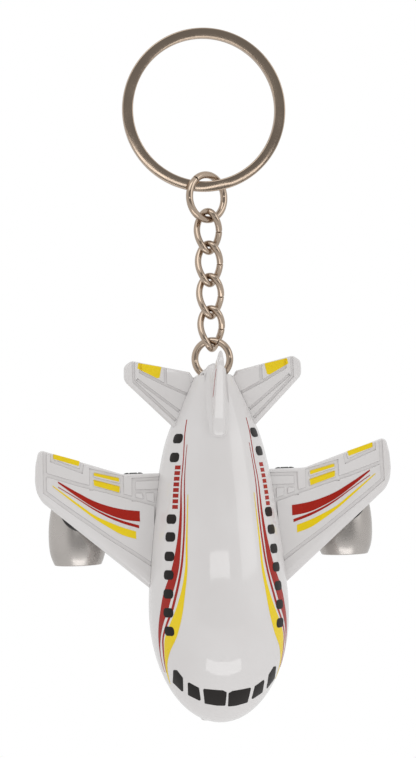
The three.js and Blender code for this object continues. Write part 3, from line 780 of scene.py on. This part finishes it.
def wing_prints(name, side):
    top = local_box(f"{name}_wing")[1][2]
    for label, (look, edges) in WING_SWOOSHES.items():
        x, y = band(edges, 48)
        sheet = [np.stack([x, y * side, np.full(x.shape, top + lift)], axis=-1) for lift in (PRINT, -SUNK)]
        finished(slab(f"{name}_wing_{label}", *sheet), look)
    for label, shape in PANELS.items():
        height = local_box(f"{name}_{label}")[1][2]
        lines = [flipped(line, side) for line in shape["lines"]]
        for number, points in enumerate(YELLOW_MARKS[label], 1):
            outline = rounded([(*point, 0.15) for point in flipped(points, side)])
            mark(f"{name}_{label}_yellow_mark_{number}", outline, height, lines, shape["groove"])


# ---- prints on the fuselage ----
# Edges as (station, degrees from the top, degrees from the top).
STRIPES = {
    "thick_red_stripe": ("print_red", [
        (8, 48.8, 47.4), (14, 42.8, 41.6), (20, 42.5, 41.2), (25, 42.3, 39.8), (30, 44, 39.8),
        (35, 49.2, 41.5), (40, 59.1, 48.6), (42.5, 62.3, 53.1), (45, 65.8, 59.5), (47.5, 68.8, 65.1),
        (50, 71.4, 69.8), (54, 75, 74.5)]),
    "thin_red_stripe": ("print_red", [
        (12.5, 39.4, 38.8), (20, 38.6, 37.5), (25, 37.7, 36.2), (30, 37.9, 36.2), (35, 40.1, 38),
        (40, 45.8, 43.3), (42.5, 49.8, 47.2), (45, 56.2, 53.8), (47.5, 62.5, 60.4), (50, 65.6, 63.7),
        (54, 70.6, 70.1)]),
    "yellow_stripe": ("print_yellow", [
        (21.5, 34.2, 33.6), (25, 34.5, 33.5), (30, 34.8, 33.1), (35, 35.3, 32.9), (40, 40.2, 35.5),
        (42.5, 44.8, 37.3), (45, 51.4, 40.5), (47.5, 58.8, 45.8), (50, 62.9, 55.2), (52.5, 66.9, 63.6),
        (55, 71.8, 69.6), (56.2, 74, 73)]),
}
WINDOW_X = [11.4, 14.8, 25.9, 29.1, 32.6, 35.95, 39.35, 42.75, 46.1]
WINDOW_SIZE = (1.7, 2.5)  # along the barrel and round it
PORT_WINDOWS_AFT = 0.65  # the port print sits this much nearer to the tail
REAR_WINDOW_ANGLE, WINDOW_ANGLE = 55.5, 52.3
# A row of plain blocks between the windows.
BLOCKS = {"stations": np.linspace(16.6, 23.7, 8), "size": (0.72, 1.35), "port": 53, "starboard": 48.3}
STARBOARD_PANES_AFT = 0.2
FIN_LINE = [(-1, 4), (13.4, 9.6)]  # stations and heights of its two ends
PANES = {
    "centre_pane": [(57.7, 0.16), (57.3, 0.85), (56.9, 4.4), (59.85, 3.95), (60.3, 1.7), (60.35, 0.24)],
    "middle_pane": [(55.6, 7.05), (56.75, 5.1), (59.45, 4.6), (58.25, 6.85)],
    "side_pane": [(53.5, 9.45), (53.5, 8.85), (54.9, 7.85), (57.6, 7.65), (57.6, 7.9), (56, 9.4)],
}


def fan(name, outline, place, lift=PRINT, rings=7):
    """A thin patch over an outline, filled from its middle, that follows the surface place(u, v, lift)."""
    count = len(outline)
    middle = outline.mean(axis=0)
    grown = [middle + (outline - middle) * k / rings for k in range(1, rings + 1)]
    flat = np.concatenate([middle[None], *grown])
    sheet = [place(flat[:, 0], flat[:, 1], height) for height in (lift, -SUNK)]
    half = len(flat)
    top = [(0, 1 + j, 1 + (j + 1) % count) for j in range(count)]
    for k in range(rings - 1):
        a, b = 1 + k * count, 1 + (k + 1) * count
        top += [(a + j, b + j, b + (j + 1) % count, a + (j + 1) % count) for j in range(count)]
    rim = [half - count + j for j in range(count)]
    walls = [(a, b, b + half, a + half) for a, b in zip(rim, rim[1:] + rim[:1])]
    faces = top + [tuple(i + half for i in face) for face in top] + walls
    return build(name, np.concatenate(sheet), faces)


def on_side(x, angle, side):
    """Places round a point of the skin: u along the barrel, v round it away from the top."""
    radius = float(radius_at(x))
    return lambda u, v, lift: skin(x + u, (angle + np.degrees(v / radius)) * side, lift)


def fuselage_prints():
    window_shape = rounded([(u, v, 0.7) for u, v in rectangle(WINDOW_SIZE[0] / 2, WINDOW_SIZE[1] / 2)])
    block_shape = np.array(rectangle(0.5, 0.5)) * BLOCKS["size"]
    for name, side in (("left", 1), ("right", -1)):
        for label, (look, edges) in STRIPES.items():
            angles, x = band(edges, 110)
            sheet = [skin(x, angles * side, lift) for lift in (PRINT, -SUNK)]
            finished(slab(f"{name}_{label}", *sheet), look)
        for number, x in enumerate(WINDOW_X, 1):
            x -= PORT_WINDOWS_AFT if side > 0 else 0
            angle = REAR_WINDOW_ANGLE if number < 3 else WINDOW_ANGLE
            window = fan(f"{name}_window_{number}", window_shape, on_side(x, angle, side), 2 * PRINT)
            finished(window, "print_black")
        for number, x in enumerate(BLOCKS["stations"], 1):
            angle = BLOCKS["port" if side > 0 else "starboard"]
            finished(fan(f"{name}_block_{number}", block_shape, on_side(x, angle, side)), "print_red")
        x, middle = np.linspace(*FIN_LINE[0], 24), np.linspace(*FIN_LINE[1], 24)
        z = middle[:, None] + np.array([-0.2, 0, 0.2])
        x = np.broadcast_to(x[:, None], z.shape)
        line = slab(f"{name}_fin_line", *(fin_flank(x, z, side, lift) for lift in (PRINT, -SUNK)))
        finished(line, "print_red")
        for label, points in PANES.items():
            aft = 0 if side > 0 else STARBOARD_PANES_AFT
            outline = rounded([(x - aft, y * side, 0.22) for x, y in points], 15)
            dense = np.concatenate([np.linspace(a, b, 5, endpoint=False)
                                    for a, b in zip(outline, np.roll(outline, -1, axis=0))])
            finished(fan(f"{name}_{label}", dense, over, PRINT, 10), "print_black")


# ---- engines, wheels and the small pieces ----
def arc(centre, radius, start, end, count=6):
    """Points of an arc in a lathe profile, from start to end degrees."""
    return [(centre[0] + radius * math.cos(a), centre[1] + radius * math.sin(a))
            for a in np.radians(np.linspace(start, end, count))]


# Outer radius of the cowls at stations from the tail end.
COWL_CURVE = [(20.6, 3.7), (23.2, 4.5), (26.2, 5.1), (29, 5.3), (31, 5.25), (32.3, 5.08), (33.4, 4.76),
              (34.2, 4.42)]
LIP = 0.22  # radius of the cowl's rounded front edge
HUB_FACE, HUB_BACK = 28.6, 27.2  # stations of the wall inside the cowl that holds the lamp


def cowl(name, low, high):
    rear, front = low[0], high[0]
    stations = np.linspace(rear + 0.15, front - LIP, 48)
    outside = [(float(r), float(x)) for r, x in zip(curve(COWL_CURVE, stations), stations)]
    lip = arc((4.19, front - LIP), LIP, 20, 160)
    inside = [(3.9, front - 0.4), (3.8, front - 0.9), (3.72, front - 2), (3.7, HUB_FACE)]
    hub = [(1.65, HUB_FACE), (1.65, HUB_BACK), (3, HUB_BACK), (3, rear + 0.1), (3.15, rear), (3.6, rear)]
    centre = (0, (low[1] + high[1]) / 2, (low[2] + high[2]) / 2)
    made = lathe(f"{name}_engine_skin", [*outside, *lip, *inside, *hub], "x", centre, 128)
    finished(made, "silver", nodes=[f"{name}_engine_cowl"])
    return centre


def pylon(name, engine_centre):
    low, high = local_box(f"{name}_engine_pylon")
    radius, edge, foot = (high[1] - low[1]) / 2, 0.3, low[2] - 1
    profile = [(0, high[2]), *arc((radius - edge, high[2] - edge), edge, 90, 0), (radius, foot), (0, foot)]
    centre = ((low[0] + high[0]) / 2, (low[1] + high[1]) / 2, 0)
    made = lathe(f"{name}_engine_saddle", profile, "z", centre)
    cut(made, rod("x", engine_centre, 5.34, 10, 40, 96))
    smooth(made)
    finished(made, "black", nodes=[f"{name}_engine_pylon"])


def lamp(name, engine_centre):
    low, high = local_box(f"{name}_engine_led")
    radius, foot = 1.2, low[0]
    dome = arc((0, high[0] - radius), radius, 0, 90, 12)[:-1]
    profile = [(0, foot), (1.45, foot), (1.5, foot + 0.1), (1.5, foot + 0.9), (radius, foot + 1), *dome,
               (0, high[0])]
    made = lathe(f"{name}_engine_lamp", profile, "x", engine_centre, 64)
    finished(made, "clear", nodes=[f"{name}_engine_led"])


def engine(name):
    centre = cowl(name, *local_box(f"{name}_engine_cowl"))
    pylon(name, centre)
    lamp(name, centre)


def wheel(node, body):
    """A tyre with a rounded tread and two fine grooves, and a dished hub."""
    low, high = local_box(node)
    centre = (low + high) / 2
    radius, half = (high[2] - low[2]) / 2, (high[1] - low[1]) / 2
    shoulder = 0.9 if half > 2 else 0.7
    quarter = arc((radius - shoulder, half - shoulder), shoulder, 0, 80, 9)
    tread = [(radius, 0.35), (radius, 0.62), (radius - 0.12, 0.7), (radius - 0.12, 0.9), (radius, 0.98)]
    side = [(radius * 0.7, half), (radius * 0.62, half - 0.1), (radius * 0.56, half - 0.42),
            (radius * 0.34, half - 0.5), (radius * 0.3, half - 0.2), (0.95, half - 0.15), (0.86, half - 0.25)]
    one = [*tread, *quarter, *side]
    profile = [*one, *((r, -a) for r, a in reversed(one))]
    finished(lathe(f"{node}_tyre", profile, "y", centre, 128), "rubber", body, [node])


def axle(node, body):
    low, high = local_box(node)
    centre, radius, half = (low + high) / 2, (high[2] - low[2]) / 2, (high[1] - low[1]) / 2
    flat, shank = radius - 0.2, half - 0.2
    profile = [(0, half), (flat, half), (radius, shank), (radius, -shank), (flat, -half), (0, -half)]
    finished(lathe(f"{node}_pin", profile, "y", centre, 48), "steel", body, [node])


def screw(node):
    """A pan head with a cross recess, point up."""
    low, high = local_box(node)
    neck = low[2] + 1.1
    profile = [(0, low[2]), (1.0, low[2] + 0.02), (1.3, low[2] + 0.16), (HEAD, low[2] + 0.45), (HEAD, neck),
               (SHANK, neck), (SHANK, high[2] - 0.5), (0, high[2])]
    x = SCREW_X[node]
    made = lathe(f"{node}_metal", profile, "z", (x, 0, 0), 64)
    for size in ((0.95, 0.17), (0.17, 0.95)):
        cut(made, block((x - size[0], -size[1], low[2] - 1), (x + size[0], size[1], low[2] + 0.6)))
    smooth(made)
    finished(made, "steel", nodes=[node])


def push_button():
    foot, top = BUTTON_LOW[2], BUTTON_HIGH[2]
    radius = (BUTTON_HIGH[0] - BUTTON_LOW[0]) / 2 - 0.5
    flange, stem = radius + 0.5, 1.2
    profile = [(0, foot), (radius - 1.1, foot + 0.03), *arc((radius - 0.55, foot + 0.6), 0.55, -85, 0, 8),
               (radius, foot + 3.4), (flange, foot + 3.4), (flange, foot + 4.2), (stem, foot + 4.2),
               (stem, top), (0, top)]
    made = lathe("push_button_cap", profile, "z", (BUTTON_X, 0, 0))
    finished(made, "button", "push_button", ["push_button"])


def battery_door():
    x, y = np.meshgrid(np.linspace(DOOR_LOW[0], DOOR_HIGH[0], 40),
                       np.linspace(DOOR_LOW[1], DOOR_HIGH[1], 48), indexing="ij")
    degrees = 180 - np.degrees(np.arcsin(y / radius_at(x)))
    door = slab("battery_door_skin", skin(x, degrees, 0.0), skin(x, degrees, -WALL))
    at = SCREW_X["door_screw"]
    cut(door, rod("z", (at, 0, 0), SHANK + SCREW_GAP, UNDER, 0),
        rod("z", (at, 0, 0), HEAD + SCREW_GAP, UNDER, belly(at) + 1))
    for k in range(3):
        ridge_x = DOOR_HIGH[0] - 1.6 - 1.1 * k
        cut(door, rod("y", (ridge_x, 0, belly(ridge_x) - 0.1), 0.35, -2.6, 2.6, 24))
    smooth(door)
    finished(door, "shell", nodes=["battery_door"])


# ---- key ring and chain ----
def wire(node, path, radius, turn):
    """Round wire bent along path(t) round its own centre, its two ends butted a hair apart."""
    ends = [(0.0035, 0.8), (0.0045, 0.95), (0.006, 1)]
    places = [*ends, *((t, 1) for t in np.linspace(0.01, 0.99, 160)),
              *((1 - t, size) for t, size in reversed(ends))]
    angles = np.linspace(0, 2 * np.pi, 20, endpoint=False)
    rings = []
    for t, size in places:
        middle, along = path(t), path(t + 0.001) - path(t - 0.001)
        along /= np.linalg.norm(along)
        out = middle - along * (middle @ along)
        out /= np.linalg.norm(out)
        side = np.cross(along, out)
        ring = middle + radius * size * (np.cos(angles)[:, None] * out + np.sin(angles)[:, None] * side)
        x, y, z = ring.T
        rings.append(np.column_stack([*turned(x, y, math.radians(turn)), z]))
    low, high = np.array(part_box(node)) / MM
    finished(loft(f"{node}_wire", np.array(rings) + (low + high) / 2, row), "nickel", node, [node])


def ring_path(radius, seam):
    def path(t):
        angle = 2 * math.pi * t + math.radians(seam)
        return np.array([radius * math.sin(angle), 0, radius * math.cos(angle)])
    return path


LINK = {"a": 2.02, "b": 3.7, "wire": 0.61, "twist": 47, "turns": (0, 3, 8, 14)}


def link_path(t):
    angle = 2 * math.pi * t + math.pi / 2
    x = LINK["a"] * math.copysign(abs(math.sin(angle)) ** 0.85, math.sin(angle))
    z = LINK["b"] * math.cos(angle)
    twist = math.radians(LINK["twist"]) * z / LINK["b"]
    return np.array([x * math.cos(twist), -x * math.sin(twist), z])


SPLIT = {"inner": 13.05, "coil": 0.7, "space": 0.1, "round": 0.22, "turns": (8.5, 342, 373, 698)}


def split_ring():
    """Flat wire wound twice, with rounded edges. The coils cross over near the bottom."""
    inner = SPLIT["inner"]
    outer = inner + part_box("split_ring")[1][2] / MM
    centre = np.array([0, 0, -inner])
    start, step_start, step_end, finish = np.radians(SPLIT["turns"])
    offset = (SPLIT["coil"] + SPLIT["space"]) / 2
    half = (SPLIT["coil"] / 2, (outer - inner) / 2)
    section = rounded([(x, y, SPLIT["round"]) for x, y in rectangle(*half)], 18)
    turns = np.linspace(start, finish, 520)
    hair = math.radians(0.3)
    places = [(start, 0.9), (start + hair, 0.97), *((t, 1) for t in turns[2:-2]),
              (finish - hair, 0.97), (finish, 0.9)]
    rings = []
    for turn, size in places:
        f = np.clip((turn - step_start) / (step_end - step_start), 0, 1)
        y = -offset + 2 * offset * f * f * (3 - 2 * f)
        reach, across = (inner + outer) / 2 + section[:, 1] * size, y + section[:, 0] * size
        rings.append(np.column_stack([-math.sin(turn) * reach, across, -math.cos(turn) * reach]))
    made = loft("split_ring_wire", np.array(rings) + centre, row)
    finished(made, "nickel", "split_ring", ["split_ring"])


def chain():
    for node, ring in (("upper_jump_ring", UPPER_RING), ("lower_jump_ring", LOWER_RING)):
        wire(node, ring_path(ring["radius"], ring["seam"]), ring["wire"], ring["turn"])
    for number, turn in enumerate(LINK["turns"], 1):
        wire(f"chain_link_{number}", link_path, LINK["wire"], turn)


hollow = whole(-WALL, 2.2, NOSE_END - 3)
upper_shell(hollow)
lower_shell(hollow)
bpy.data.objects.remove(hollow)
for name, side in (("left", 1), ("right", -1)):
    for label in PANELS:
        panel(name, label, side)
    wing_prints(name, side)
    engine(name)
    wheel(f"{name}_main_wheel", "main_wheels")
fuselage_prints()
wheel("nose_wheel", "nose_wheels")
axle("main_axle", "main_wheels")
axle("nose_axle", "nose_wheels")
for node in SCREW_X:
    screw(node)
push_button()
battery_door()
split_ring()
chain()

INSIDE = {"tact_switch": "black", "circuit_board": "board", "sound_chip": "black", "speaker": "steel",
          "positive_contact": "steel", "negative_contact": "steel",
          **{f"button_cell_{number}": "steel" for number in (1, 2, 3)}}
for node, look in INSIDE.items():
    materials = frame["nodes"][node].data.materials
    materials.clear()
    materials.append(LOOKS[look])


# ---- studio ----
LIT = Vector((0, 0, -95 * MM))  # the middle of the airplane, at which the lights look


def area_light(name, direction, distance, size, power):
    """A soft box that looks at the airplane from the direction (azimuth, elevation), in degrees."""
    azimuth, elevation = np.radians(direction)
    level = math.cos(elevation)
    back = Vector((math.sin(azimuth) * level, -math.cos(azimuth) * level, math.sin(elevation)))
    data = bpy.data.lights.new(name, "AREA")
    data.shape = "RECTANGLE"
    data.size, data.size_y = size
    data.energy = power
    light = placed(name, data)
    light.location = LIT + back * distance
    light.rotation_mode = "QUATERNION"
    light.rotation_quaternion = back.to_track_quat("Z", "Y")


def studio():
    scene = bpy.context.scene
    scene.view_settings.view_transform = "Standard"
    world = bpy.data.worlds.new("studio")
    scene.world = world
    world.use_nodes = True
    tree = world.node_tree
    nodes, links = tree.nodes, tree.links
    background = nodes["Background"]
    split = nodes.new("ShaderNodeSeparateXYZ")
    links.new(nodes.new("ShaderNodeTexCoord").outputs["Generated"], split.inputs["Vector"])
    # The room behind the camera is darker than the white tent round the sides and the back.
    room = ramp(tree, split.outputs["Y"], 0.3, 0.86, -0.93, -0.62)
    seen = nodes.new("ShaderNodeLightPath").outputs["Is Camera Ray"]
    mix = nodes.new("ShaderNodeMix")
    mix.data_type = "FLOAT"
    links.new(seen, mix.inputs["Factor"])
    links.new(room, mix.inputs["A"])
    fill(mix, {"B": 1.0})
    links.new(mix.outputs["Result"], background.inputs["Strength"])
    fill(background, {"Color": (1, 1, 1, 1)})
    area_light("upper_softbox", (-3, 7.2), 0.6, (0.36, 0.036), 0.09)
    area_light("lower_softbox", (0, -48.5), 0.6, (0.6, 0.13), 0.5)
    area_light("key", (-25, 45), 0.8, (0.6, 0.4), 0.95)
    area_light("fill", (50, 20), 0.9, (0.5, 0.5), 0.9)
    floor_size, floor_drop = 4.0, 0.5
    bpy.ops.mesh.primitive_grid_add(size=floor_size, x_subdivisions=8, y_subdivisions=8,
                                    location=(0, 0, cad_low[2] - floor_drop))
    floor = bpy.context.object
    floor.name = "floor"
    paper = material("pale_paper", ((0.88,) * 3, (0.89,) * 3), (0.7, 0.8), grain=0.1, grain_scale=300)
    shader = paper.node_tree.nodes["Principled BSDF"]
    fill(shader, {"Emission Color": (1, 1, 1, 1), "Emission Strength": 0.05})
    floor.data.materials.append(paper)


def camera():
    """The photograph's view: level, from a little to starboard, with the picture turned by a small roll."""
    azimuth, roll = math.radians(-7), math.radians(1.95)
    distance, picture_height = 500 * MM, 138.7 * MM
    target = Vector((-0.92 * MM, 0, EYE[2] - 0.3 * MM))
    data = bpy.data.cameras.new("camera")
    data.sensor_width = 36
    data.lens = data.sensor_width * distance / picture_height
    data.clip_start, data.clip_end = 0.01, 20
    made = placed("camera", data)
    facing = Matrix.Rotation(azimuth, 4, "Z") @ Matrix.Rotation(math.pi / 2, 4, "X")
    back = Matrix.Translation((0, 0, distance)) @ Matrix.Rotation(-roll, 4, "Z")
    made.matrix_world = Matrix.Translation(target) @ facing @ back
    bpy.context.scene.camera = made


studio()
camera()
